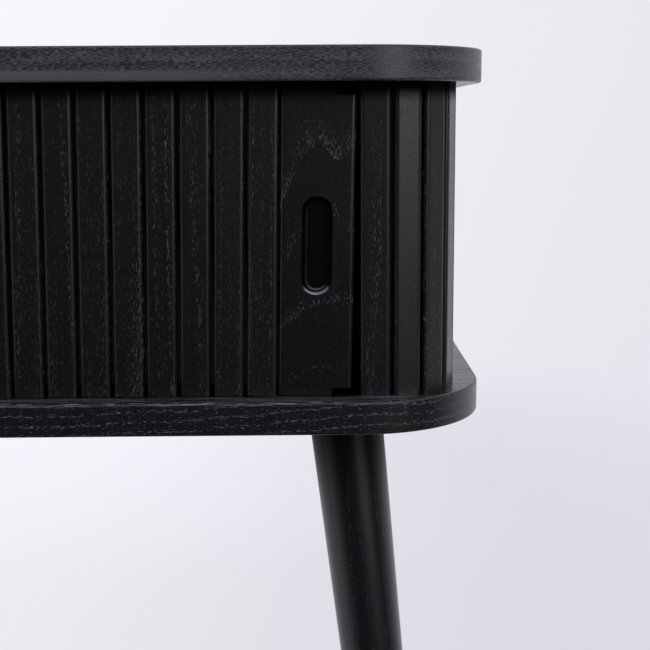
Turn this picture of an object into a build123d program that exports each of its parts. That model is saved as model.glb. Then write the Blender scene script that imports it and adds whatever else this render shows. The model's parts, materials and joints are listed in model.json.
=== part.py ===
from build123d import *
import os
from math import atan2, cos, degrees, hypot, pi, radians, sin, tan

# A small side table on four splayed legs. A base panel and a top panel with rounded corners
# hold a ribbed cabinet between them, and its front is a tambour door: slats on a canvas that
# slides left in a groove, turns the left front corner inside the fixed slats and runs back
# along the left side. All lengths are millimetres. +Z is up, the front faces -Y, and the
# origin is on the floor under the middle of the table. The door is drawn shut.

# how far a cutting shape passes the face it cuts, how near a point counts as the same place,
# and how many times a search for a hinge line halves its range
over = 1.0
near = 0.01
halvings = 60

# overall
width = 590.0
depth = 450.0
height = 450.0
panelThick = 20.0
panelCorner = 76.0
bandThick = 2.0
bandEase = 1.5
legZone = 224.0

# fixed ribbed walls
overhang = 17.0
cornerRadius = 42.0
slatThick = 8.0
slatGap = 1.8
slatEase = 2.6
slatRoot = 3.0
fixedSlats = 70
jambX = 216.5
leftFirstAngle = 20.0

# tambour door
pitch = 20.0
doorSlats = 21
travelPitches = 18
leadLeft = 169.9
leadGap = 0.9
leadRight = 215.2
leadThick = 16.0
canvasThick = 0.8
canvasShort = 6.0
hingeRelief = 0.5
turnX = -216.0
turnRadius = 38.0
shoulderGap = 0.5

# tenons on the slat ends, and the groove that they run in
tenonWide = 9.0
tenonThick = 4.6
tenonLong = 5.5
leadTenonInset = 8.0
leadTenonClear = 1.0
grooveDeep = 6.5
grooveWide = 6.0
bendWide = 7.4
bendLead = 14.0
grooveStartX = 202.5
grooveEndY = 188.0

# batten that clamps the canvas to the lead slat, and its screws
battenThick = 4.5
battenInset = 0.5
battenEnd = 12.0
battenScrews = 5
pinRadius = 1.2
pinLong = 10.0

# stop at the curtain's end
stopClear = 1.0
stopThick = 8.0
stopWide = 10.5
stopEnd = 60.0

# finger pull and notches of the lead slat
pullWide = 17.0
pullHigh = 57.0
pullDeep = 8.5
pullDrop = 2.3
pullRim = 1.0
pullCove = 3.0
notchWide = 12.3
notchTop = 6.5
notchFoot = 4.6
rebateWide = 10.0

# carcass boards
boardThick = 12.0
backThick = 10.0
shellThick = 4.0
shellFrontY = -190.0
postLeftX = 218.2
partitionX = -250.0
partitionFrontY = -170.0

# legs
legInsetX = 85.6
legInsetY = 76.0
legTop = 48.0
legFoot = 37.8
legEase = 2.0
legSpare = 8.0
splay = 6.0
glideThick = 3.0
glideRadius = 13.0
glideEase = 1.0
boltRadius = 4.0
boltInLeg = 38.0
boltInPanel = 13.0
insertRadius = 6.2

# countersunk screws up through the base panel, and dowels down from the top panel
screwHeadRadius = 4.2
screwHeadLong = 3.2
screwRadius = 2.0
screwLong = 45.0
screwHoleUp = 30.0
socketRadius = 2.0
socketDeep = 0.6
dowelRadius = 4.0
dowelUp = 10.0
dowelDown = 20.0

# where the fixings stand: the right posts, the right wall, the back board and the partition
postFixingX = 244.0
postFixingY = 178.0
rightFixingsY = (-110.0, 0.0, 110.0)
backFixingsX = (-180.0, 0.0, 180.0)
partitionFixingsY = (-105.0, 20.0, 145.0)

baseBottom = legZone
baseTop = legZone + panelThick
topBottom = height - panelThick
clear = topBottom - baseTop
faceX = width / 2 - overhang
faceY = depth / 2 - overhang
coreX = faceX - slatThick
coreY = faceY - slatThick
coreCorner = cornerRadius - slatThick
canvasY = -coreY
turnY = canvasY + turnRadius
leftRunX = turnX - turnRadius


def prism(profile, low, high):
    """The flat profile extruded from one level to another."""
    return extrude(Pos(0, 0, low) * profile, high - low)


def block(x1, x2, y1, y2, z1, z2):
    """A box between two corners."""
    place = Pos((x1 + x2) / 2, (y1 + y2) / 2, (z1 + z2) / 2)
    return place * Box(x2 - x1, y2 - y1, z2 - z1)


def patch(x1, x2, y1, y2):
    """A flat rectangle between two corners."""
    return Pos((x1 + x2) / 2, (y1 + y2) / 2) * Rectangle(x2 - x1, y2 - y1)


def rod(x, y, z1, z2, radius):
    """An upright cylinder."""
    return Pos(x, y, (z1 + z2) / 2) * Cylinder(radius, z2 - z1)


def write(node, shape):
    """One node is one file: a single solid, or a group of separate solids."""
    export_step(shape, f"parts/{node}.step")


def group(solids):
    """Separate solids of one node, kept apart."""
    return Compound(children=list(solids))


def facePoint(s):
    """Point and outward normal on the face line of the fixed walls, s along it from the jamb."""
    flatX = faceX - cornerRadius
    flatY = faceY - cornerRadius
    quarter = cornerRadius * pi / 2
    runs = [
        ("line", flatX - jambX, (jambX, -faceY), -90),
        ("arc", quarter, (flatX, -flatY), -90),
        ("line", 2 * flatY, (faceX, -flatY), 0),
        ("arc", quarter, (flatX, flatY), 0),
        ("line", 2 * flatX, (flatX, faceY), 90),
        ("arc", quarter, (-flatX, flatY), 90),
        ("line", 2 * flatY, (-faceX, flatY), 180),
        ("arc", quarter, (-flatX, -flatY), 180),
    ]
    for kind, length, start, heading in runs:
        if s <= length or kind == "arc" and heading == 180:
            break
        s -= length
    if kind == "line":
        a = radians(heading)
        x = start[0] - sin(a) * s
        y = start[1] + cos(a) * s
        return (x, y), (cos(a), sin(a))
    a = radians(heading) + s / cornerRadius
    normal = (cos(a), sin(a))
    return (start[0] + cornerRadius * normal[0], start[1] + cornerRadius * normal[1]), normal


def fixedLength():
    """Length of the face line from the jamb to the first fixed slat left of the door."""
    flatX = faceX - cornerRadius
    flatY = faceY - cornerRadius
    arcs = cornerRadius * (3 * pi / 2 + radians(90 - leftFirstAngle))
    return flatX - jambX + 4 * flatY + 2 * flatX + arcs


def fixedSlat(i):
    """One fixed slat: a flat face on its chord, tapered sides in the corners, back on the core."""
    step = fixedLength() / fixedSlats
    p, n1 = facePoint(i * step)
    q, n2 = facePoint((i + 1) * step)
    chord = hypot(q[0] - p[0], q[1] - p[1])
    along = ((q[0] - p[0]) / chord, (q[1] - p[1]) / chord)
    half = slatGap / 2
    inward = slatThick + slatRoot
    f1 = (p[0] + along[0] * half, p[1] + along[1] * half)
    f2 = (q[0] - along[0] * half, q[1] - along[1] * half)
    b1 = (f1[0] - n1[0] * inward, f1[1] - n1[1] * inward)
    b2 = (f2[0] - n2[0] * inward, f2[1] - n2[1] * inward)
    quad = make_face(Polyline(f1, f2, b2, b1, close=True))
    fronts = [v for v in quad.vertices() if min(hypot(v.X - f[0], v.Y - f[1]) for f in (f1, f2)) < near]
    quad = fillet(fronts, slatEase)
    core = RectangleRounded(2 * coreX, 2 * coreY, coreCorner)
    return prism(quad - core, baseTop, topBottom)


def trackPoint(s):
    """Point on the canvas line, s along it from the lead slat's left boundary when shut."""
    front = leadLeft - turnX
    quarter = turnRadius * pi / 2
    if s <= front:
        return leadLeft - s, canvasY
    if s <= front + quarter:
        a = (s - front) / turnRadius
        return turnX - turnRadius * sin(a), turnY - turnRadius * cos(a)
    return leftRunX, turnY + s - front - quarter


def stations(count):
    """Hinge lines of the curtain: points of the canvas line exactly one pitch apart."""
    places = [0.0]
    for _ in range(count):
        x0, y0 = trackPoint(places[-1])
        low, high = places[-1], places[-1] + 2 * pitch
        for _ in range(halvings):
            mid = (low + high) / 2
            x, y = trackPoint(mid)
            if hypot(x - x0, y - y0) < pitch:
                low = mid
            else:
                high = mid
        places.append(high)
    return [trackPoint(s) for s in places]


def turn(points, k):
    """Degrees that the curtain turns inwards at hinge line k."""
    (x0, y0), (x1, y1), (x2, y2) = points[k - 1], points[k], points[k + 1]
    return degrees(atan2(y0 - y1, x0 - x1) - atan2(y1 - y2, x1 - x2))


def grooveFace():
    """Outline of the groove: front run, bend with relief on its inside, and left run."""
    outer = canvasY - slatThick / 2 - grooveWide / 2
    outRadius = turnY - outer
    leftOuter = turnX - outRadius
    face = patch(turnX, grooveStartX, outer, outer + grooveWide)
    face += patch(leftOuter, leftOuter + grooveWide, turnY, grooveEndY)
    face += patch(turnX, turnX + bendLead, outer, outer + bendWide)
    face += patch(leftOuter, leftOuter + bendWide, turnY, turnY + bendLead)
    ring = Pos(turnX, turnY) * (Circle(outRadius) - Circle(outRadius - bendWide))
    face += ring & patch(leftOuter, turnX, outer, turnY)
    return face


def slatProfile(wide, thick):
    """Cross-section of a door slat: back on Y = 0, face towards -Y with eased edges."""
    face = patch(-wide / 2, wide / 2, -thick, 0)
    fronts = face.vertices().sort_by(Axis.Y)[:2]
    return fillet(fronts, slatEase)


def tenons(x):
    """The two tenons at the ends of a slat, drawn for a back on Y = 0."""
    y = -slatThick / 2
    low, high = baseTop + shoulderGap, topBottom - shoulderGap
    half = tenonWide / 2
    pair = block(x - half, x + half, y - tenonThick / 2, y + tenonThick / 2, low - tenonLong, low + over)
    pair += block(x - half, x + half, y - tenonThick / 2, y + tenonThick / 2, high - over, high + tenonLong)
    return pair


def doorSlat():
    """A narrow door slat, centred on X = 0 with its back on Y = 0."""
    body = prism(slatProfile(pitch - slatGap, slatThick), baseTop + shoulderGap, topBottom - shoulderGap)
    return body + tenons(0)


def onTrack(shape, points, k):
    """The shape moved to slat k's place, between hinge lines k - 1 and k."""
    (x1, y1), (x2, y2) = points[k - 1], points[k]
    heading = degrees(atan2(y1 - y2, x1 - x2))
    return Pos((x1 + x2) / 2, (y1 + y2) / 2) * Rot(0, 0, heading) * shape


def canvas(length):
    """A strip of canvas behind slats, centred on X = 0, relieved at its hinge lines."""
    half = length / 2 - hingeRelief
    return block(-half, half, 0, canvasThick, baseTop + canvasShort, topBottom - canvasShort)


def leadSlat(pins):
    """The wide slat that is pulled: thicker, with a blind finger pull, notches and a rebate."""
    low, high = baseTop + shoulderGap, topBottom - shoulderGap
    left = leadLeft + leadGap
    wide = leadRight - left
    face = Pos((left + leadRight) / 2, 0) * slatProfile(wide, slatThick)
    face += patch(left + rebateWide, leadRight, -slatThick / 2, leadThick - slatThick)
    body = Pos(0, canvasY, 0) * prism(face, low, high)
    middle = (left + leadRight) / 2
    for x in (left + leadTenonInset, grooveStartX - leadTenonClear - tenonWide / 2):
        body += Pos(0, canvasY, 0) * tenons(x)
    wall = (leadRight - notchWide, leadRight + over, canvasY - slatThick - over, canvasY + leadThick)
    body -= block(*wall, low - over, low + notchFoot)
    body -= block(*wall, high - notchTop, high + over)
    for pin in pins:
        body -= pin
    front = canvasY - slatThick
    centre = (baseTop + topBottom) / 2 - pullDrop
    pocket = extrude(
        Plane(origin=(middle, front, centre), x_dir=(1, 0, 0), z_dir=(0, 1, 0))
        * SlotOverall(pullHigh, pullWide, rotation=90),
        pullDeep,
    )
    pocket = fillet(pocket.faces().sort_by(Axis.Y)[-1].edges(), pullCove)
    body -= pocket
    rim = body.edges().filter_by(lambda e: abs(e.center().Y - front) < near)
    rim = rim.filter_by(lambda e: abs(e.center().X - middle) < pullWide / 2 + near)
    rim = rim.filter_by(lambda e: abs(e.center().Z - centre) < pullHigh / 2 + near)
    return chamfer(rim, pullRim)


def panel(low, high, holes):
    """A board between two levels without its edge band, less the given hollows."""
    flat = RectangleRounded(width - 2 * bandThick, depth - 2 * bandThick, panelCorner - bandThick)
    board = prism(flat, low, high)
    for hole in holes:
        board -= hole
    return board


def edgeBand(low, high):
    """The band round a panel, with eased outer edges."""
    outer = RectangleRounded(width, depth, panelCorner)
    inner = RectangleRounded(width - 2 * bandThick, depth - 2 * bandThick, panelCorner - bandThick)
    ring = prism(outer, low, high)
    rims = ring.faces().filter_by(Axis.Z).edges()
    return fillet(rims, bandEase) - prism(inner, low - over, high + over)


def legAxis(sx, sy):
    """Where a leg's axis meets the base panel and the floor."""
    x, y = sx * (width / 2 - legInsetX), sy * (depth / 2 - legInsetY)
    out = legZone * tan(radians(splay))
    return Vector(x, y, legZone), Vector(x + sx * out, y + sy * out, 0)


def leg(sx, sy):
    """A splayed tapered leg, flat at both ends, bored for its bolt."""
    top, foot = legAxis(sx, sy)
    long = (top - foot).length
    slope = (legTop - legFoot) / 2 / long
    low = legFoot / 2 - slope * legSpare
    high = legTop / 2 + slope * legSpare
    whole = long + 2 * legSpare
    direction = (top - foot).normalized()
    start = foot - direction * legSpare
    cone = Plane(origin=start, z_dir=direction) * Pos(0, 0, whole / 2) * Cone(low, high, whole)
    room = block(-width, width, -depth, depth, glideThick, legZone)
    body = cone & room
    end = body.faces().sort_by(Axis.Z)[0]
    body = fillet(end.edges(), legEase)
    return body - rod(top.X, top.Y, legZone - boltInLeg, legZone + over, boltRadius)


def screwHead(x, y):
    """The cone of a countersunk head, flush with the underside of the base panel."""
    return Pos(x, y, baseBottom + screwHeadLong / 2) * Cone(screwHeadRadius, screwRadius, screwHeadLong)


def screw(x, y):
    """A countersunk screw driven up through the base panel."""
    shank = rod(x, y, baseBottom + screwHeadLong, baseBottom + screwLong, screwRadius)
    key = Pos(x, y, baseBottom + socketDeep) * RegularPolygon(socketRadius, 6)
    return screwHead(x, y) + shank - extrude(key, -2 * socketDeep)


def screwHole(x, y):
    """The hole of such a screw: countersink and clearance."""
    return screwHead(x, y) + rod(x, y, baseBottom, baseTop + screwHoleUp, screwRadius)


def dowel(x, y):
    """A dowel between the top panel and the board under it."""
    return rod(x, y, topBottom - dowelDown, topBottom + dowelUp, dowelRadius)


os.makedirs("parts", exist_ok=True)

# fixings: one screw below and one dowel above at each of these points
fixings = [(postFixingX, -postFixingY), (postFixingX, postFixingY)]
fixings += [(coreX - boardThick / 2, y) for y in rightFixingsY]
fixings += [(x, coreY - backThick / 2) for x in backFixingsX]
fixings += [(partitionX + boardThick / 2, y) for y in partitionFixingsY]
dowels = [dowel(x, y) for x, y in fixings]
screws = [screw(x, y) for x, y in fixings]
screwHoles = [screwHole(x, y) for x, y in fixings]

# legs with their bolts, insert nuts and glides
corners = {"front_right": (1, -1), "front_left": (-1, -1), "back_right": (1, 1), "back_left": (-1, 1)}
bolts, inserts, insertHoles, glides = [], [], [], []
for name, (sx, sy) in corners.items():
    write(f"leg_{name}", leg(sx, sy))
    top, foot = legAxis(sx, sy)
    bolts.append(rod(top.X, top.Y, legZone - boltInLeg, legZone + boltInPanel, boltRadius))
    tube = rod(top.X, top.Y, legZone, legZone + boltInPanel, insertRadius)
    inserts.append(tube - rod(top.X, top.Y, legZone - over, legZone + boltInPanel + over, boltRadius))
    insertHoles.append(rod(top.X, top.Y, legZone - over, legZone + boltInPanel, insertRadius))
    glide = rod(foot.X, foot.Y, 0, glideThick, glideRadius)
    glides.append(fillet(glide.edges().group_by(Axis.Z)[0], glideEase))
write("leg_bolts", group(bolts))
write("leg_inserts", group(inserts))
write("foot_glides", group(glides))

# panels and their bands
groove = grooveFace()
lowGroove = prism(groove, baseTop - grooveDeep, baseTop + over)
highGroove = prism(groove, topBottom - over, topBottom + grooveDeep)
write("base_panel", panel(baseBottom, baseTop, [lowGroove] + insertHoles + screwHoles))
write("top_panel", panel(topBottom, height, [highGroove] + dowels))
write("base_edge_band", edgeBand(baseBottom, baseTop))
write("top_edge_band", edgeBand(topBottom, height))
write("panel_screws", group(screws))
write("wall_dowels", group(dowels))

# carcass between the panels
core = RectangleRounded(2 * coreX, 2 * coreY, coreCorner)
flatX = coreX - coreCorner
flatY = coreY - coreCorner


def wall(node, face):
    """A carcass piece of the full clear height, bored for the fixings that meet it."""
    piece = prism(face, baseTop, topBottom)
    for hole in screwHoles + dowels:
        piece -= hole
    write(node, piece)


wall("right_front_post", core & patch(postLeftX, coreX, -coreY, -flatY))
wall("right_wall", patch(coreX - boardThick, coreX, -flatY, flatY))
wall("right_rear_post", core & patch(flatX, coreX, flatY, coreY))
wall("back_board", patch(-flatX, flatX, coreY - backThick, coreY))
inside = RectangleRounded(2 * (coreX - shellThick), 2 * (coreY - shellThick), coreCorner - shellThick)
wall("left_shell", (core - inside) & patch(-coreX, -flatX, shellFrontY, coreY))
partitionBack = coreY - backThick
wall("left_partition", patch(partitionX, partitionX + boardThick, partitionFrontY, partitionBack))

# fixed slats, in groups by wall
groups = {"fixed_slats_front": [], "fixed_slats_right": [], "fixed_slats_back": []}
groups.update({"fixed_slats_left": [], "fixed_slats_left_corner": []})
step = fixedLength() / fixedSlats
for i in range(fixedSlats):
    (x, y), _ = facePoint((i + 0.5) * step)
    if y > flatY:
        node = "fixed_slats_back"
    elif y > -flatY:
        node = "fixed_slats_right" if x > 0 else "fixed_slats_left"
    else:
        node = "fixed_slats_front" if x > 0 else "fixed_slats_left_corner"
    groups[node].append(fixedSlat(i))
for node, slats in groups.items():
    write(node, group(slats))

# the door, shut: the batten's screws, then the lead slat and the narrow slats
points = stations(doorSlats + travelPitches)
battenLeft = leadLeft + leadGap + battenInset
battenRight = leadLeft + leadGap + rebateWide - battenInset
battenFront = canvasY + canvasThick
battenBack = battenFront + battenThick
pins = []
for i in range(battenScrews):
    z = baseTop + battenEnd + (i + 0.5) * (clear - 2 * battenEnd) / battenScrews
    place = Pos((battenLeft + battenRight) / 2, battenBack - pinLong / 2, z)
    pins.append(place * Rot(90, 0, 0) * Cylinder(pinRadius, pinLong))
write("batten_screws", group(pins))
write("lead_slat", leadSlat(pins))
narrow = doorSlat()
for k in range(1, doorSlats + 1):
    write(f"door_slat_{k:02d}", onTrack(narrow, points, k))

# canvas: one strip for each stretch that stays flat between the door's two end positions
canvasLow, canvasHigh = baseTop + canvasShort, topBottom - canvasShort
first = block(points[1][0] + hingeRelief, battenRight, canvasY, battenFront, canvasLow, canvasHigh)
batten = block(battenLeft, battenRight, battenFront, battenBack, canvasLow, canvasHigh)
for pin in pins:
    first -= pin
    batten -= pin
write("canvas_01", first)
write("canvas_batten", batten)
bends = [k for k in range(1, doorSlats) if abs(turn(points, k)) > near]
opened = [k for k in range(1, doorSlats) if abs(turn(points, k + travelPitches)) > near]
flightFirst, flightLast = max(opened) + 1, min(bends)
for k in list(range(2, flightFirst)) + list(range(flightLast + 1, doorSlats + 1)):
    write(f"canvas_{k:02d}", onTrack(canvas(pitch), points, k))
flight = canvas(pitch * (flightLast - flightFirst + 1))
middleX = (points[flightFirst - 1][0] + points[flightLast][0]) / 2
write("canvas_flight", Pos(middleX, canvasY, 0) * flight)

# stop for the curtain's end, glued to the partition in the left channel
stopFront = points[-1][1] + stopClear
stopLeft = partitionX - stopWide
write("curtain_stop", block(stopLeft, partitionX, stopFront, stopFront + stopThick,
                            baseTop + stopEnd, topBottom - stopEnd))

# the hinge lines and turns that the joints use
for k in sorted(set(bends + opened)):
    shut, open_ = turn(points, k), turn(points, k + travelPitches)
    print(f"hinge line {k} at {points[k][0]:.4f}, {points[k][1]:.4f}: {shut:.5f} shut, {open_:.5f} open")
print(f"rigid flight from slat {flightFirst} to {flightLast}, travel {travelPitches * pitch}")
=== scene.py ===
import bpy
import json
import math
from mathutils import Matrix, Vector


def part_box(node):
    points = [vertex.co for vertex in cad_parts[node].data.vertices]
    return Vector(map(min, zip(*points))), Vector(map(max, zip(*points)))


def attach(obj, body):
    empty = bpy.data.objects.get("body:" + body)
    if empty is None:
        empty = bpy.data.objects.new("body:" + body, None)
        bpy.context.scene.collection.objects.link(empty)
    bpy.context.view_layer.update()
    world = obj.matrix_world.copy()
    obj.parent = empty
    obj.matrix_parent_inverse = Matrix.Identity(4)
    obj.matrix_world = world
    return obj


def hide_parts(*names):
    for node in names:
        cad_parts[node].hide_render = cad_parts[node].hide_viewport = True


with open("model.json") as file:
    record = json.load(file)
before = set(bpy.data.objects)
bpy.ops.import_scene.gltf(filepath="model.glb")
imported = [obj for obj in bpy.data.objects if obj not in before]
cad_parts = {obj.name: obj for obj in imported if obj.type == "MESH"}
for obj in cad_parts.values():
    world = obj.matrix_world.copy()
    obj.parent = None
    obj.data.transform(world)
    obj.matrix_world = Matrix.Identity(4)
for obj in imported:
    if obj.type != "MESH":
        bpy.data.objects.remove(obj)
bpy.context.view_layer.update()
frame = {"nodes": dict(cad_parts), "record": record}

nodes = frame["nodes"]
print("frame loaded:", len(nodes), "nodes")


class Wire:
    # a socket in an expression: each operator adds the Math node that it stands for
    def __init__(self, graph, socket):
        self.graph = graph
        self.socket = socket

    def __add__(self, other):
        return self.graph.maths("ADD", self, other)

    def __radd__(self, other):
        return self.graph.maths("ADD", other, self)

    def __sub__(self, other):
        return self.graph.maths("SUBTRACT", self, other)

    def __rsub__(self, other):
        return self.graph.maths("SUBTRACT", other, self)

    def __mul__(self, other):
        return self.graph.maths("MULTIPLY", self, other)

    def __rmul__(self, other):
        return self.graph.maths("MULTIPLY", other, self)

    def __truediv__(self, other):
        return self.graph.maths("DIVIDE", self, other)

    def __pow__(self, other):
        return self.graph.maths("POWER", self, other)


class Graph:
    def __init__(self, tree):
        self.tree = tree
        tree.nodes.clear()

    def add(self, kind, settings=None, sockets=None):
        # the one way a node is made: settings first, then the values or links of its sockets
        node = self.tree.nodes.new(kind)
        for key, value in (settings or {}).items():
            setattr(node, key, value)
        for key, value in (sockets or {}).items():
            if isinstance(value, Wire):
                self.tree.links.new(value.socket, node.inputs[key])
            else:
                node.inputs[key].default_value = value
        return node

    def wire(self, node, output=0):
        return Wire(self, node.outputs[output])

    def maths(self, operation, a, b=0.0):
        return self.wire(self.add("ShaderNodeMath", {"operation": operation}, {0: a, 1: b}))

    def between(self, value, low, high):
        # 0 below low, 1 above high; the other way round where low is the larger of the two
        flip = low > high
        a, b = (high, low) if flip else (low, high)
        sockets = {"Value": value, "From Min": a, "From Max": b, "To Min": 1.0 * flip, "To Max": 1.0 - flip}
        settings = {"interpolation_type": "SMOOTHSTEP", "clamp": True}
        return self.wire(self.add("ShaderNodeMapRange", settings, sockets))

    def vector(self, x, y, z):
        return self.wire(self.add("ShaderNodeCombineXYZ", {}, {0: x, 1: y, 2: z}))

    def noise(self, place, scale=1.0, detail=2.0, rough=0.5):
        sockets = {"Vector": place, "Scale": scale, "Detail": detail, "Roughness": rough}
        return self.wire(self.add("ShaderNodeTexNoise", {"noise_dimensions": "3D"}, sockets))

    def random(self, value):
        return self.wire(self.add("ShaderNodeTexWhiteNoise", {"noise_dimensions": "1D"}, {"W": value}))

    def mix(self, share, a, b):
        # colours go through a Mix node, whose colour sockets are 6 and 7
        settings = {"data_type": "RGBA", "blend_type": "MIX"}
        return self.wire(self.add("ShaderNodeMix", settings, {0: share, 6: a, 7: b}), 2)

    def objectAxes(self):
        place = self.add("ShaderNodeTexCoord")
        split = self.add("ShaderNodeSeparateXYZ", {}, {0: self.wire(place, "Object")})
        return [self.wire(split, i) for i in range(3)]

    def bump(self, height, distance, strength):
        sockets = {"Height": height, "Distance": distance, "Strength": strength}
        return self.wire(self.add("ShaderNodeBump", {}, sockets))

    def shader(self, sockets):
        return self.wire(self.add("ShaderNodeBsdfPrincipled", {}, sockets))

    def mixShader(self, share, a, b):
        share = self.maths("MINIMUM", share, 1.0)
        return self.wire(self.add("ShaderNodeMixShader", {}, {0: share, 1: a, 2: b}))

    def output(self, shader):
        self.add("ShaderNodeOutputMaterial", {}, {"Surface": shader})


def newMaterial(name):
    material = bpy.data.materials.new(name)
    material.use_nodes = True
    return material, Graph(material.node_tree)


# the door hangs a little skew in its grooves: its slats lean, and the lead slat stays off the jamb
door = {
    "lean": math.radians(1.15),
    "leadShift": -0.0011,
    "weld": 0.00001,
    "smooth": math.radians(30),
    "flat": 0.9999,  # cosine to the front, above which a face counts as part of it
    "flatWeight": 100,
}


def leaningCopy(node):
    # a welded copy of a slat's solid, turned in the slat's own plane so that its foot goes left
    low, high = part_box(node)
    middle = (low + high) / 2
    inward = max(nodes[node].data.polygons, key=lambda face: face.area).normal
    outward = inward if inward.y < 0 else -inward
    bpy.ops.object.select_all(action="DESELECT")
    piece = bpy.data.objects.new("leaning_" + node, nodes[node].data.copy())
    bpy.context.scene.collection.objects.link(piece)
    bpy.context.view_layer.objects.active = piece
    piece.select_set(True)
    bpy.ops.object.mode_set(mode="EDIT")
    bpy.ops.mesh.select_all(action="SELECT")
    bpy.ops.mesh.remove_doubles(threshold=door["weld"])
    # brought to face straight forward, leaned, and turned back
    heading = math.atan2(outward.x, -outward.y)
    for angle, axis in ((heading, "Z"), (-door["lean"], "Y"), (-heading, "Z")):
        bpy.ops.transform.rotate(value=angle, orient_axis=axis, center_override=middle)
    if node == "lead_slat":
        bpy.ops.transform.translate(value=(door["leadShift"], 0, 0))
    bpy.ops.object.mode_set(mode="OBJECT")
    bpy.ops.object.shade_smooth_by_angle(angle=door["smooth"])
    # the flat front keeps its own normals, so the arrises don't bend the light on it
    front, others = set(), set()
    for face in piece.data.polygons:
        side = front if face.normal.dot(outward) > door["flat"] else others
        side.update(face.edge_keys)
    for edge in piece.data.edges:
        if edge.key in front and edge.key in others:
            edge.use_edge_sharp = True
    flats = piece.modifiers.new("flats", "WEIGHTED_NORMAL")
    flats.weight = door["flatWeight"]
    flats.keep_sharp = True
    bpy.ops.object.modifier_apply(modifier=flats.name)
    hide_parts(node)
    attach(piece, bodyOf[node])
    return piece


bodies = frame["record"]["behaviour"]["bodies"]
bodyOf = {node: body for body, members in bodies.items() for node in members}
slats = {node: leaningCopy(node) for node in nodes if node.startswith("door_slat") or node == "lead_slat"}
print("door slats leaning:", len(slats))


def dress(material, *names):
    # a piece or a CAD node gets the finish in its material slots
    for name in names:
        slots = (slats.get(name) or nodes[name]).data.materials
        slots.clear()
        slots.append(material)


# where things are on the table, in metres
table = {
    "halfX": 0.295,
    "halfY": 0.225,
    "panelCorner": 0.076,
    "faceX": 0.278,
    "faceY": 0.208,
    "faceCorner": 0.042,
    "pitch": 0.020,
    "leadLeft": 0.1699,
    "bandSeamX": 0.160,
    "midZ": 0.337,
}


def along(graph, halfX, halfY, corner):
    # length along a rounded rectangle's edge, 0 at the middle of the front, positive to the right
    x, y, z = graph.objectAxes()
    spanX, spanY = halfX - corner, halfY - corner
    qx = graph.maths("MINIMUM", graph.maths("MAXIMUM", x, -spanX), spanX)
    qy = graph.maths("MINIMUM", graph.maths("MAXIMUM", y, -spanY), spanY)
    turn = graph.maths("ARCTAN2", x - qx, qy - y)
    size = graph.maths("ABSOLUTE", turn)
    side = graph.maths("SIGN", turn)
    quarter = math.pi / 4
    onFront = graph.maths("LESS_THAN", size, quarter)
    onBack = graph.maths("GREATER_THAN", size, 3 * quarter)
    onSide = 1 - onFront - onBack
    flat = onFront * qx + onSide * side * (qy + (spanX + spanY))
    flat = flat + onBack * (side * (2 * spanX + 2 * spanY) - qx)
    return flat + turn * corner, z


# how the wood's markings are drawn out: repeats per metre across, along and into the grain
grain = {
    "pits": {"across": 2300.0, "along": 330.0, "inwards": 2300.0, "detail": 1.0, "rough": 0.5},
    "streaks": {"across": 900.0, "along": 14.0, "inwards": 900.0, "detail": 3.0, "rough": 0.6},
    "cloud": {"across": 30.0, "along": 9.0, "inwards": 30.0, "detail": 2.0, "rough": 0.5},
    "columns": {"across": 800.0, "along": 7.0, "inwards": 60.0, "detail": 1.0, "rough": 0.5},
    "patches": {"across": 190.0, "along": 30.0, "inwards": 190.0, "detail": 2.0, "rough": 0.6},
    "sway": {"across": 9.0, "along": 4.0, "inwards": 9.0, "detail": 2.0, "rough": 0.5},
    "ripple": {"across": 70.0, "along": 26.0, "inwards": 70.0, "detail": 2.0, "rough": 0.5},
}


def grainNoise(graph, u, v, w, marking):
    stretched = graph.vector(u * marking["across"], v * marking["along"], w * marking["inwards"])
    return graph.noise(stretched, 1.0, marking["detail"], marking["rough"])


# a growth ring: how weak the weakest is, and where in a year its open pores start and stop
growth = {"seed": 3.7, "weakest": 0.35, "start": 0.05, "stop": 0.08}


def rings(graph, u, v, w, cut):
    # growth rings of the log that a piece is cut from: u across the face, v along the grain, w inwards
    sway = grainNoise(graph, u, v, w, grain["sway"]) - 0.5
    ripple = grainNoise(graph, u, v, w, grain["ripple"]) - 0.5
    across = u - cut["across"] + sway * cut["sway"]
    deep = w - cut["deep"]
    far = (across * across + deep * deep) ** 0.5 + v * cut["taper"] + ripple * cut["ripple"]
    ring = far / cut["ring"]
    year = graph.maths("FLOOR", ring)
    early = ring - year
    strength = growth["weakest"] + graph.random(year + growth["seed"]) * (1 - growth["weakest"])
    opened = graph.between(early, 0.0, growth["start"]) * graph.between(early, cut["early"], growth["stop"])
    return opened * strength


# black stained ash: the stain, the pale flecks of its open pores, and how fine they are
ash = {
    "deep": (0.0042, 0.0039, 0.0056),
    "body": (0.0088, 0.0083, 0.0103),
    "fleck": (0.160, 0.155, 0.170),
    "pit": (0.0016, 0.0015, 0.0019),
    "wearAndHighlight": (0.30, 0.29, 0.32),
    "patchRange": (0.30, 0.60),
    "columnRange": (0.42, 0.62),
    "openLeast": 0.35,
    "rarest": 0.685,
    "densest": 0.165,
    "edge": 0.045,
    "streakRange": (0.25, 0.80),
    "streakShare": 0.55,
    "paleLeast": 0.30,
    "mattAndShadeHides": 0.8,
    "fleckRough": 0.20,
    "streakRough": 0.10,
    "streakRelief": 0.4,
    "relief": 0.00012,
    "mattPit": 0.65,
    "mattRough": 0.85,
    "mattSpecular": 0.04,
}


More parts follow.
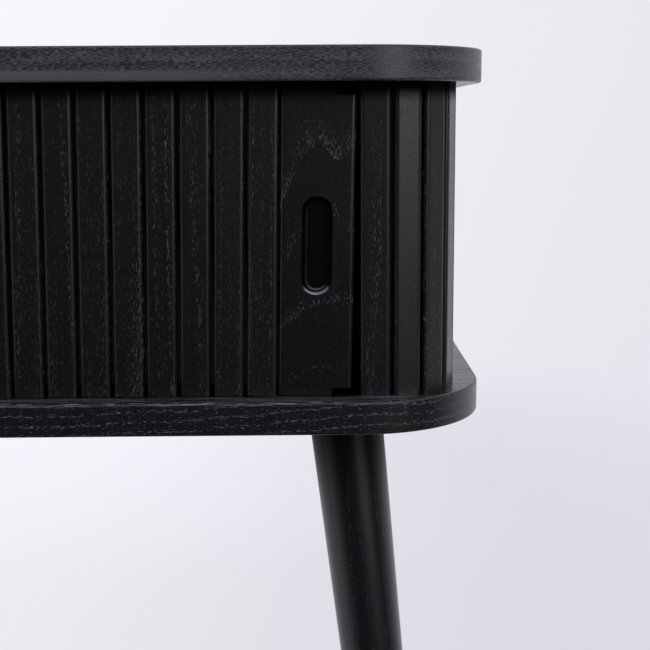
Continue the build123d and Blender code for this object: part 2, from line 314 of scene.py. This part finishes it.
def ashMaterial(name, style):
    # the style's place gives u, v, w, a tone, the share of open pores and the matt share at each point; the
    # matt share is matt finish on the panels and painted shade on the slats, the lead slat's pull and the
    # legs
    material, graph = newMaterial(name)
    at = style["place"](graph)
    pits, streaks, cloud, columns, patches = [
        grainNoise(graph, at["u"], at["v"], at["w"], grain[marking])
        for marking in ("pits", "streaks", "cloud", "columns", "patches")
    ]
    patchy = graph.between(patches, *ash["patchRange"]) * (1 - ash["openLeast"] - style["columns"])
    share = ash["openLeast"] + patchy + graph.between(columns, *ash["columnRange"]) * style["columns"]
    openPores = at["pores"] * share
    reach = pits + openPores * ash["densest"] + style["strays"]
    flecks = graph.between(reach, ash["rarest"], ash["rarest"] + ash["edge"])
    mattAndShade = graph.maths("MINIMUM", at["mattAndShade"], 1.0)
    lightness = graph.between(streaks, *ash["streakRange"]) * ash["streakShare"]
    lightness = lightness + cloud * (1 - ash["streakShare"])
    shade = graph.mix(lightness, (*ash["deep"], 1), (*ash["body"], 1))
    scaled = {0: shade, "Scale": at["tone"] * style["tone"]}
    toned = graph.wire(graph.add("ShaderNodeVectorMath", {"operation": "SCALE"}, scaled))
    paled = flecks * (ash["paleLeast"] + openPores * (1 - ash["paleLeast"]))
    paled = paled * (1 - mattAndShade * ash["mattAndShadeHides"]) * style["pale"]
    colour = graph.mix(paled, toned, (*ash["fleck"], 1))
    # the wear-and-highlight share is pale wear on the panels and bands, and a painted highlight on the lead
    # slat's rim
    if "wearAndHighlight" in at:
        colour = graph.mix(at["wearAndHighlight"], colour, (*style["wearAndHighlightColour"], 1))
    rough = style["rough"] + flecks * ash["fleckRough"] + (streaks - 0.5) * ash["streakRough"]
    normal = graph.bump(streaks * ash["streakRelief"] - flecks, ash["relief"], style["bump"])
    sheen = graph.shader({"Base Color": colour, "Roughness": rough, "Normal": normal})
    # the matt shader's darker colour draws the open pores' pits, and painted shade where the matt share is
    # painted shade
    pitAndShadeColour = graph.mix(ash["mattPit"], colour, (*ash["pit"], 1))
    matt = graph.shader({"Base Color": pitAndShadeColour, "Roughness": ash["mattRough"],
                         "Specular IOR Level": ash["mattSpecular"], "Normal": normal})
    graph.output(graph.mixShader(mattAndShade + flecks * style["mattPores"], sheen, matt))
    return material


# painted shade: the slats are drawn matt and darker towards their top ends, where the top panel's overhang
# shades them
paintedTopShade = {"from": 0.4165, "full": 0.4270}


def shadeUnderTop(graph, z):
    return graph.between(z, paintedTopShade["from"], paintedTopShade["full"])


# each slat of the face line is its own stick of wood: what one stick differs in from the next
stickOf = {
    "seed": 0.37,
    "otherSeed": 11.13,
    "shiftAcross": 3.0,
    "shiftAlong": 5.0,
    "shiftInwards": 40.0,
    "pithAside": 0.09,  # the pith lies somewhere to the side, so some faces are flat sawn and some are rift
    "pithNear": 0.006,
    "pithFar": 0.05,
    "poresLeast": 0.45,
    "toneLeast": 0.80,
    "toneMore": 0.45,
    "cut": {"taper": 0.010, "sway": 0.004, "ripple": 0.0012, "ring": 0.0036, "early": 0.62},
}


def slatPlace(lean):
    def place(graph):
        s, z = along(graph, table["faceX"], table["faceY"], table["faceCorner"])
        s = s - (z - table["midZ"]) * math.tan(lean)
        index = graph.maths("FLOOR", (s - table["leadLeft"]) / table["pitch"])
        stick = graph.random(index + stickOf["seed"])
        other = graph.random(index + stickOf["otherSeed"])
        shift = stick * stickOf["shiftAcross"]
        u = s + shift
        v = z + other * stickOf["shiftAlong"]
        middle = (index + 0.5) * table["pitch"] + table["leadLeft"] + shift
        cut = {**stickOf["cut"], "across": middle + (other - 0.5) * stickOf["pithAside"],
               "deep": stick * stickOf["pithFar"] + stickOf["pithNear"]}
        strength = stickOf["poresLeast"] + stick * (1 - stickOf["poresLeast"])
        # the slats' matt share is only the painted shade under the top panel
        return {"u": u, "v": v, "w": stick * stickOf["shiftInwards"],
                "tone": stickOf["toneLeast"] + other * stickOf["toneMore"],
                "pores": rings(graph, u, v, 0.0, cut) * strength, "mattAndShade": shadeUnderTop(graph, z)}

    return place


# flames of the flat-sawn lead slat: crown height and place, how fast they fall to either side, the
# wave to the right, how far the pores reach upwards and how strong they are
flames = [
    {"top": 0.3930, "at": 0.1935, "fall": 75.0, "fallRight": 0.0, "wave": 0.0046,
     "reach": 0.028, "strength": 1.0},
    {"top": 0.3520, "at": 0.1970, "fall": 50.0, "fallRight": 55.0, "wave": 0.0,
     "reach": 0.017, "strength": 0.62},
    {"top": 0.3000, "at": 0.2020, "fall": 16.0, "fallRight": 10.0, "wave": 0.0,
     "reach": 0.012, "strength": 0.85},
    {"top": 0.2580, "at": 0.1980, "fall": 12.0, "fallRight": 12.0, "wave": 0.0,
     "reach": 0.012, "strength": 0.38},
]

# the lead slat: its finger pull's outline and the painted shade on the pull's floor, and how its flames and
# the painted highlight on its rim are drawn
lead = {
    "pullX": 0.1916,
    "pullZ": 0.3347,
    "pullStraight": 0.0200,
    "pullRadius": 0.0085,
    "floorFrom": -0.2060,
    "floorEdge": 0.001,
    "outlineEdge": 0.0012,
    "floorShadeTone": 0.3,
    "floorShadeMatt": 0.7,
    "waveWidth": 0.0115,
    "ripple": {"across": 190.0, "along": 90.0, "inwards": 1.0, "detail": 3.0, "rough": 0.6},
    "rippleSeed": 3.0,
    "rippleHeight": 0.008,
    "bandStart": 0.0015,
    "bandStop": 0.002,
    "highlightLowEnd": (-0.0235, -0.0270),
    "highlightBreaks": (-0.35, -0.05),
    "rimAt": 0.0001,
    "rimRange": (0.0005, 0.0002),
    "stepAt": -0.0017,
    "stepRange": (0.0006, 0.0002),
    "stepShare": 0.5,
    "seed": 5.0,
}


def leadPlace(graph):
    x, y, z = graph.objectAxes()
    ripple = grainNoise(graph, x, z, lead["rippleSeed"], lead["ripple"]) - 0.5
    pores = None
    for flame in flames:
        off = x - flame["at"]
        left = graph.maths("MINIMUM", off, 0.0)
        right = graph.maths("MAXIMUM", off, 0.0)
        crown = flame["top"] - left * left * flame["fall"] - right * right * flame["fallRight"]
        if flame["wave"]:
            waves = graph.maths("COSINE", right * (math.pi / lead["waveWidth"]))
            crown = crown + (waves - 1) * flame["wave"]
        over = z - crown + ripple * lead["rippleHeight"]
        flecked = graph.between(over, 0.0, lead["bandStart"])
        flecked = flecked * graph.between(over, flame["reach"], lead["bandStop"]) * flame["strength"]
        pores = flecked if pores is None else graph.maths("MAXIMUM", pores, flecked)
    # distance from the pull's outline: below 0 inside it
    offZ = z - lead["pullZ"]
    pastEnd = graph.maths("MAXIMUM", graph.maths("ABSOLUTE", offZ) - lead["pullStraight"], 0.0)
    offX = x - lead["pullX"] - offZ * math.tan(door["lean"])
    outline = (offX * offX + pastEnd * pastEnd) ** 0.5 - lead["pullRadius"]
    # painted shade: the pull's floor is drawn darker and matt, standing for the shade in the recess
    floor = graph.between(y, lead["floorFrom"], lead["floorFrom"] + lead["floorEdge"])
    floor = floor * graph.between(outline, lead["outlineEdge"], 0.0)
    # painted highlight: the lower rim is painted pale in two fine lines, standing for light from above caught
    # on its rounding
    rim = graph.between(graph.maths("ABSOLUTE", outline - lead["rimAt"]), *lead["rimRange"])
    step = graph.between(graph.maths("ABSOLUTE", outline - lead["stepAt"]), *lead["stepRange"])
    wearAndHighlight = graph.maths("MAXIMUM", rim, step * lead["stepShare"])
    wearAndHighlight = wearAndHighlight * graph.between(offZ, *lead["highlightLowEnd"]) * graph.between(ripple, *lead["highlightBreaks"])
    # the matt share here is painted shade: in the pull and under the top panel
    mattAndShade = graph.maths("MAXIMUM", floor * lead["floorShadeMatt"], shadeUnderTop(graph, z))
    return {"u": x, "v": z, "w": lead["seed"], "tone": 1.0 - floor * lead["floorShadeTone"],
            "pores": pores * (1 - floor), "mattAndShade": mattAndShade, "wearAndHighlight": wearAndHighlight}


# the finer noises have more octaves and a rougher mix of them
fineNoise = {"detail": 3.0, "rough": 0.6}

# where an edge is scuffed: the range of a noise that shows as bare lines, and how bare they are
scuffs = {"range": (0.50, 0.62), "share": 0.8}


def scuffed(graph, place):
    return graph.between(graph.noise(place, **fineNoise), *scuffs["range"])


# leaves of flat-sawn veneer laid side by side, with the grain from end to end of the table
veneer = {
    "leafWidth": 0.150,
    "leafFrom": -0.75,
    "leafSeed": 5.1,
    "shiftAcross": 0.02,
    "shiftAlong": 4.0,
    "toneLeast": 0.9,
    "toneMore": 0.2,
    "cut": {"across": 0.0, "deep": 0.030, "taper": 0.016, "sway": 0.020, "ripple": 0.0014,
            "ring": 0.0042, "early": 0.55},
    "lineAlong": 9.0,
    "lineAcross": 900.0,
    "lineSeed": 5.0,
    "lineRange": (0.40, 0.60),
    "lineShare": 0.9,
    "baseBelow": 0.30,
    "frontRange": (-0.205, -0.212),  # the strip of the base in front of the door's slats, with long scuffs
    "scuffAlong": 22.0,
    "scuffSlant": 60.0,
    "scuffAcross": 1500.0,
    "scuffSeed": 2.0,
}


def panelPlace(graph):
    x, y, z = graph.objectAxes()
    leaf = graph.maths("FLOOR", (y - veneer["leafFrom"]) / veneer["leafWidth"])
    turn = graph.random(leaf + veneer["leafSeed"])
    middle = (leaf + 0.5) * veneer["leafWidth"] + veneer["leafFrom"]
    v = x + turn * veneer["shiftAlong"]
    pores = rings(graph, y - middle + turn * veneer["shiftAcross"], v, 0.0, veneer["cut"])
    lines = graph.noise(graph.vector(x * veneer["lineAlong"], y * veneer["lineAcross"], veneer["lineSeed"]))
    slant = x * veneer["scuffAlong"] + y * veneer["scuffSlant"]
    scuff = scuffed(graph, graph.vector(slant, y * veneer["scuffAcross"], veneer["scuffSeed"]))
    onFront = graph.maths("LESS_THAN", z, veneer["baseBelow"]) * graph.between(y, *veneer["frontRange"])
    return {"u": y, "v": v, "w": 0.0, "pores": pores, "wearAndHighlight": onFront * scuff * scuffs["share"],
            "tone": veneer["toneLeast"] + turn * veneer["toneMore"],
            "mattAndShade": pores * graph.between(lines, *veneer["lineRange"]) * veneer["lineShare"]}


# the panels' edge bands, cut from long strips: what both share, then each band's own
band = {
    "waveAlong": 11.0,
    "waveStrip": 7.0,
    "rippleAlong": 70.0,
    "rippleAcross": 190.0,
    "rippleHeight": 0.0035,
    "stripShift": 0.45,
    "poreStart": 0.12,
    "poreStop": 0.14,
    "seamRange": (0.0006, 0.0003),
    "seamDark": 0.8,
    "stripBelow": (0.4372, 0.4352),
    "stripAlong": (0.20, 0.08),
    "arrisHeight": 0.0022,  # the upper arris is scuffed where hands and dusters pass
    "arrisAlong": (0.26, 0.18),
    "scuffAlong": 75.0,
    "scuffAcross": 1300.0,
    "scuffSeed": 1.0,
}
topBand = {"seams": 0.0, "seed": 4.0, "rise": 0.0, "wave": 0.012, "spacing": 0.009, "early": 0.75,
           "even": 0.55, "lowStrip": 2.6, "arris": 0.46}
baseBand = {"seams": 1.0, "seed": 21.0, "rise": 0.03, "wave": 0.016, "spacing": 0.0062, "early": 0.42,
            "even": 0.0, "lowStrip": 0.0, "arris": 0.2436}


def bandPlace(style):
    def place(graph):
        s, z = along(graph, table["halfX"], table["halfY"], table["panelCorner"])
        strip = graph.maths("GREATER_THAN", s, table["bandSeamX"]) * style["seams"]
        waved = graph.vector(s * band["waveAlong"], strip * band["waveStrip"], style["seed"])
        wave = graph.noise(waved) - 0.5
        rippled = graph.vector(s * band["rippleAlong"], z * band["rippleAcross"], style["seed"])
        ripple = graph.noise(rippled, **fineNoise) - 0.5
        height = z - s * style["rise"] + wave * style["wave"] + ripple * band["rippleHeight"]
        ring = height / style["spacing"] + strip * band["stripShift"]
        early = ring - graph.maths("FLOOR", ring)
        pores = graph.between(early, 0.0, band["poreStart"])
        pores = pores * graph.between(early, style["early"], band["poreStop"])
        pores = pores * (1 - style["even"]) + style["even"]
        seam = graph.maths("ABSOLUTE", s - table["bandSeamX"])
        tone = 1 - graph.between(seam, *band["seamRange"]) * band["seamDark"] * style["seams"]
        lowStrip = graph.between(z, *band["stripBelow"]) * graph.between(s, *band["stripAlong"])
        onArris = graph.between(z, style["arris"] - band["arrisHeight"], style["arris"])
        scratched = graph.vector(s * band["scuffAlong"], z * band["scuffAcross"], band["scuffSeed"])
        scuff = scuffed(graph, scratched)
        wearAndHighlight = onArris * scuff * scuffs["share"] * graph.between(s, *band["arrisAlong"])
        return {"u": z, "v": s, "w": style["seed"], "tone": tone + lowStrip * style["lowStrip"],
                "pores": pores, "mattAndShade": 0.0, "wearAndHighlight": wearAndHighlight}

    return place


# the legs' wood, and the painted shade high on them under the base panel, drawn matt and dark
legWood = {
    "shiftX": 3.1,
    "shiftY": 1.7,
    "cut": {"across": 0.262, "deep": 0.118, "taper": 0.020, "sway": 0.004, "ripple": 0.001, "ring": 0.0034,
            "early": 0.45},
    "shadeRange": (0.150, 0.226),
    "shadeShare": 0.8,
}


def legPlace(graph):
    x, y, z = graph.objectAxes()
    stick = graph.maths("SIGN", x) * legWood["shiftX"] + graph.maths("SIGN", y) * legWood["shiftY"]
    legX, legY = graph.maths("ABSOLUTE", x), graph.maths("ABSOLUTE", y)
    pores = rings(graph, legX, z + stick, legY, legWood["cut"])
    # painted shade under the base panel
    mattAndShade = graph.between(z, *legWood["shadeRange"]) * legWood["shadeShare"]
    return {"u": x, "v": z, "w": y, "tone": 1.0, "pores": pores, "mattAndShade": mattAndShade}


# the boards and posts inside, which are quarter sawn
boardCut = {"across": 0.0, "deep": 0.5, "taper": 0.012, "sway": 0.01, "ripple": 0.001, "ring": 0.006,
            "early": 0.45}


def boardPlace(graph):
    x, y, z = graph.objectAxes()
    return {"u": x, "v": z, "w": y, "tone": 1.0, "pores": rings(graph, x, z, y, boardCut), "mattAndShade": 0.0}


# the finish of each kind of piece, as its differences from the plain one
plain = {"pale": 1.0, "strays": 0.018, "rough": 0.34, "tone": 0.9, "bump": 0.5, "columns": 0.35,
         "mattPores": 0.3, "wearAndHighlightColour": ash["wearAndHighlight"]}
finishes = {
    "slatAsh": {"place": slatPlace(0.0)},
    "doorAsh": {"place": slatPlace(door["lean"])},
    "leadAsh": {"place": leadPlace, "strays": 0.0, "rough": 0.32, "tone": 0.75, "columns": 0.15,
                "wearAndHighlightColour": (0.55, 0.54, 0.58)},
    "panelAsh": {"place": panelPlace, "pale": 0.8, "strays": 0.0, "rough": 0.27, "bump": 0.6,
                 "mattPores": 0.8},
    "topBandAsh": {"place": bandPlace(topBand), "pale": 1.6, "strays": 0.10, "rough": 0.30, "tone": 5.2,
                   "bump": 0.7, "columns": 0.2},
    "baseBandAsh": {"place": bandPlace(baseBand), "pale": 3.0, "strays": 0.02, "rough": 0.33, "tone": 1.6,
                    "bump": 0.6, "columns": 0.2},
    "legAsh": {"place": legPlace, "pale": 0.70, "strays": -0.01, "rough": 0.30, "tone": 1.6, "bump": 0.4},
    "boardAsh": {"place": boardPlace, "pale": 0.25, "strays": -0.03, "rough": 0.55, "bump": 0.4},
}
finish = {name: ashMaterial(name, {**plain, **style}) for name, style in finishes.items()}
dress(finish["slatAsh"], *[n for n in nodes if n.startswith("fixed_slats")])
dress(finish["doorAsh"], *[n for n in nodes if n.startswith("door_slat")])
dress(finish["leadAsh"], "lead_slat")
dress(finish["panelAsh"], "top_panel", "base_panel")
dress(finish["topBandAsh"], "top_edge_band")
dress(finish["baseBandAsh"], "base_edge_band")
legFittings = ("leg_bolts", "leg_inserts")
dress(finish["legAsh"], *[n for n in nodes if n.startswith("leg_") and n not in legFittings])
dress(finish["boardAsh"], "right_front_post", "right_rear_post", "right_wall", "back_board", "left_shell",
      "left_partition", "canvas_batten")
print("ash done")

# plain woven cotton, dyed dark
canvas = {
    "thread": 0.0009,
    "colour": (0.045, 0.043, 0.048),
    "pale": (0.085, 0.082, 0.088),
    "slubAcross": 400.0,
    "slubAlong": 60.0,
    "clothRange": (-0.8, 0.8),
    "rough": 0.9,
    "relief": 0.0002,
    "bump": 0.6,
}


def canvasMaterial():
    material, graph = newMaterial("canvas")
    x, y, z = graph.objectAxes()
    turn = 2 * math.pi / canvas["thread"]
    warp = graph.maths("SINE", (x + y) * turn)
    weft = graph.maths("SINE", z * turn)
    across = canvas["slubAcross"]
    slub = graph.noise(graph.vector(x * across, y * across, z * canvas["slubAlong"]))
    cloth = graph.between(warp * weft + (slub - 0.5), *canvas["clothRange"])
    colour = graph.mix(cloth, (*canvas["colour"], 1), (*canvas["pale"], 1))
    normal = graph.bump(cloth, canvas["relief"], canvas["bump"])
    graph.output(graph.shader({"Base Color": colour, "Roughness": canvas["rough"], "Normal": normal}))
    return material


# zinc plated steel: small blotches of bright and dull
zinc = {
    "dark": (0.42, 0.42, 0.44),
    "bright": (0.60, 0.60, 0.62),
    "bloom": 900.0,
    "bloomRange": (0.35, 0.65),
    "scuffAcross": 2500.0,
    "scuffAlong": 300.0,
    "rough": 0.28,
    "bloomRough": 0.2,
    "relief": 0.00005,
    "bump": 0.4,
}


def zincMaterial():
    material, graph = newMaterial("zincSteel")
    x, y, z = graph.objectAxes()
    bloom = graph.noise(graph.vector(x, y, z), zinc["bloom"], **fineNoise)
    across = zinc["scuffAcross"]
    scuff = graph.noise(graph.vector(x * across, y * across, z * zinc["scuffAlong"]))
    colour = graph.mix(graph.between(bloom, *zinc["bloomRange"]), (*zinc["dark"], 1), (*zinc["bright"], 1))
    rough = zinc["rough"] + bloom * zinc["bloomRough"]
    normal = graph.bump(scuff, zinc["relief"], zinc["bump"])
    graph.output(graph.shader({"Base Color": colour, "Roughness": rough, "Metallic": 1.0, "Normal": normal}))
    return material


# rubber and nylon: an even moulded skin with fine grain and a little dust
rubber = {"dark": (0.012, 0.012, 0.013), "pale": (0.040, 0.040, 0.042), "rough": 0.65, "skin": 2500.0}
nylon = {"dark": (0.020, 0.020, 0.022), "pale": (0.060, 0.060, 0.064), "rough": 0.45, "skin": 3500.0}
moulded = {"dust": 1 / 20, "dustDetail": 3.0, "dustRange": (0.45, 0.75), "dustRough": 0.15,
           "relief": 0.0001, "bump": 0.5}


def mouldedMaterial(name, stuff):
    material, graph = newMaterial(name)
    x, y, z = graph.objectAxes()
    skin = graph.noise(graph.vector(x, y, z), stuff["skin"], **fineNoise)
    dust = graph.noise(graph.vector(x, y, z), stuff["skin"] * moulded["dust"], moulded["dustDetail"])
    colour = graph.mix(graph.between(dust, *moulded["dustRange"]), (*stuff["dark"], 1), (*stuff["pale"], 1))
    rough = stuff["rough"] + dust * moulded["dustRough"]
    normal = graph.bump(skin, moulded["relief"], moulded["bump"])
    graph.output(graph.shader({"Base Color": colour, "Roughness": rough, "Normal": normal}))
    return material


# pale unstained wood with the short dark flecks of its rays
beech = {
    "dark": (0.46, 0.30, 0.17),
    "pale": (0.62, 0.44, 0.28),
    "ray": (0.25, 0.14, 0.07),
    "grainAcross": 700.0,
    "grainAlong": 30.0,
    "rayAcross": 2600.0,
    "rayAlong": 500.0,
    "rayDetail": 1.0,
    "rayRange": (0.60, 0.68),
    "rayShare": 0.6,
    "rough": 0.55,
    "relief": 0.0001,
    "bump": 0.4,
}


def beechMaterial():
    material, graph = newMaterial("beech")
    x, y, z = graph.objectAxes()
    across = beech["grainAcross"]
    lines = graph.noise(graph.vector(x * across, y * across, z * beech["grainAlong"]), **fineNoise)
    across = beech["rayAcross"]
    rays = graph.noise(graph.vector(x * across, y * across, z * beech["rayAlong"]), detail=beech["rayDetail"])
    wood = graph.mix(lines, (*beech["dark"], 1), (*beech["pale"], 1))
    colour = graph.mix(graph.between(rays, *beech["rayRange"]) * beech["rayShare"], wood, (*beech["ray"], 1))
    normal = graph.bump(lines, beech["relief"], beech["bump"])
    graph.output(graph.shader({"Base Color": colour, "Roughness": beech["rough"], "Normal": normal}))
    return material


dress(canvasMaterial(), *[n for n in nodes if n.startswith("canvas_") and n != "canvas_batten"])
dress(zincMaterial(), "leg_bolts", "leg_inserts", "panel_screws", "batten_screws")
dress(mouldedMaterial("rubber", rubber), "curtain_stop")
dress(mouldedMaterial("nylon", nylon), "foot_glides")
dress(beechMaterial(), "wall_dowels")
print("fittings done")

# the studio: pale paper below, dark behind the camera, large soft lights to the sides and behind;
# directions are degrees round from straight behind the camera, heights are sines of the elevation
studio = {
    # painted light: the floor paper's glow, lighter on the left and darker to the right
    "glowLeft": (0.960, 0.942, 1.0),
    "glowRight": (0.760, 0.745, 0.810),
    "glowRange": (-0.15, 0.45),
    "floorSize": 4.0,
    "floorFade": (0.55, 1.30),
    "selfLit": 0.84,
    "skyLeft": (0.945, 0.925, 0.985),
    "skyRight": (0.800, 0.790, 0.850),
    "skySlant": -0.35,
    "skyRange": (-0.30, 0.38),
    "lamp": (0.93, 0.92, 1.0),
    "front": 0.030,
    "ceiling": 0.85,
    "ceilingFrom": (0.05, 0.55),
    "box": 4.5,
    "boxLeft": (12, 24),
    "boxRight": (50, 40),
    "boxBottom": (-0.10, 0.10),
    "boxTop": (0.30, 0.20),
    "right": 0.90,
    "rightFrom": (62, 122),
    "left": 0.80,
    "leftFrom": (-38, -85),
}


def makeFloor():
    bpy.ops.object.select_all(action="DESELECT")
    bpy.ops.mesh.primitive_plane_add(size=studio["floorSize"], location=(0, 0, 0))
    floor = bpy.context.object
    floor.name = "floor"
    material, graph = newMaterial("floorPaper")
    x, y, z = graph.objectAxes()
    fade = graph.between((x * x + y * y) ** 0.5, *studio["floorFade"])
    toRight = graph.between(x, *studio["glowRange"])
    # painted light: the paper mostly glows, and only the rest beyond the selfLit share takes the lamps' light
    # and shadows
    paperGlow = graph.mix(toRight, (*studio["glowLeft"], 1), (*studio["glowRight"], 1))
    glow = graph.add("ShaderNodeEmission", {}, {"Color": paperGlow, "Strength": 1.0})
    matt = graph.add("ShaderNodeBsdfDiffuse", {}, {"Color": paperGlow})
    clear = graph.add("ShaderNodeBsdfTransparent")
    both = graph.mixShader(studio["selfLit"], graph.wire(matt), graph.wire(glow))
    graph.output(graph.mixShader(fade, both, graph.wire(clear)))
    floor.data.materials.append(material)
    floor.visible_glossy = False
    floor.visible_diffuse = False


def makeWorld():
    world = bpy.data.worlds.new("studio")
    bpy.context.scene.world = world
    world.use_nodes = True
    graph = Graph(world.node_tree)
    place = graph.add("ShaderNodeTexCoord")
    split = graph.add("ShaderNodeSeparateXYZ", {}, {0: graph.wire(place, "Generated")})
    x, y, z = [graph.wire(split, i) for i in range(3)]
    azimuth = graph.maths("ARCTAN2", x, 0 - y) * (180 / math.pi)
    box = graph.between(azimuth, *studio["boxLeft"]) * graph.between(azimuth, *studio["boxRight"])
    box = box * graph.between(z, *studio["boxBottom"]) * graph.between(z, *studio["boxTop"]) * studio["box"]
    right = graph.between(azimuth, *studio["rightFrom"]) * studio["right"]
    left = graph.between(azimuth, *studio["leftFrom"]) * studio["left"]
    ceiling = graph.between(z, *studio["ceilingFrom"]) * studio["ceiling"]
    sides = graph.maths("MAXIMUM", right, left)
    light = graph.maths("MAXIMUM", graph.maths("MAXIMUM", box, ceiling), sides) + studio["front"]
    toRight = graph.between(x + z * studio["skySlant"], *studio["skyRange"])
    shown = graph.mix(toRight, (*studio["skyLeft"], 1), (*studio["skyRight"], 1))
    lit = graph.add("ShaderNodeBackground", {}, {"Color": (*studio["lamp"], 1), "Strength": light})
    seen = graph.add("ShaderNodeBackground", {}, {"Color": shown, "Strength": 1.0})
    path = graph.add("ShaderNodeLightPath")
    sockets = {0: graph.wire(path, "Is Camera Ray"), 1: graph.wire(lit), 2: graph.wire(seen)}
    both = graph.add("ShaderNodeMixShader", {}, sockets)
    graph.add("ShaderNodeOutputWorld", {}, {"Surface": graph.wire(both)})


# the photograph's camera: where it stands, how it is turned in degrees, and its lens in pixels
shot = {
    "at": (0.1884, -0.9172, 0.410),
    "down": 9.8,
    "right": 0.64,
    "roll": -0.35,
    "focalPixels": 1206.0,
    "frame": 650.0,
    "sensor": 36.0,
    "nearest": 0.05,
}


def makeCamera():
    data = bpy.data.cameras.new("photo")
    data.sensor_width = shot["sensor"]
    data.lens = data.sensor_width * shot["focalPixels"] / shot["frame"]
    data.clip_start = shot["nearest"]
    camera = bpy.data.objects.new("photo", data)
    bpy.context.scene.collection.objects.link(camera)
    yaw = Matrix.Rotation(math.radians(-shot["right"]), 4, "Z")
    tilt = Matrix.Rotation(math.radians(90.0 - shot["down"]), 4, "X")
    roll = Matrix.Rotation(math.radians(shot["roll"]), 4, "Z")
    camera.matrix_world = Matrix.Translation(shot["at"]) @ yaw @ tilt @ roll
    bpy.context.scene.camera = camera


makeFloor()
makeWorld()
makeCamera()
bpy.context.scene.view_settings.view_transform = "Standard"
print("studio done")
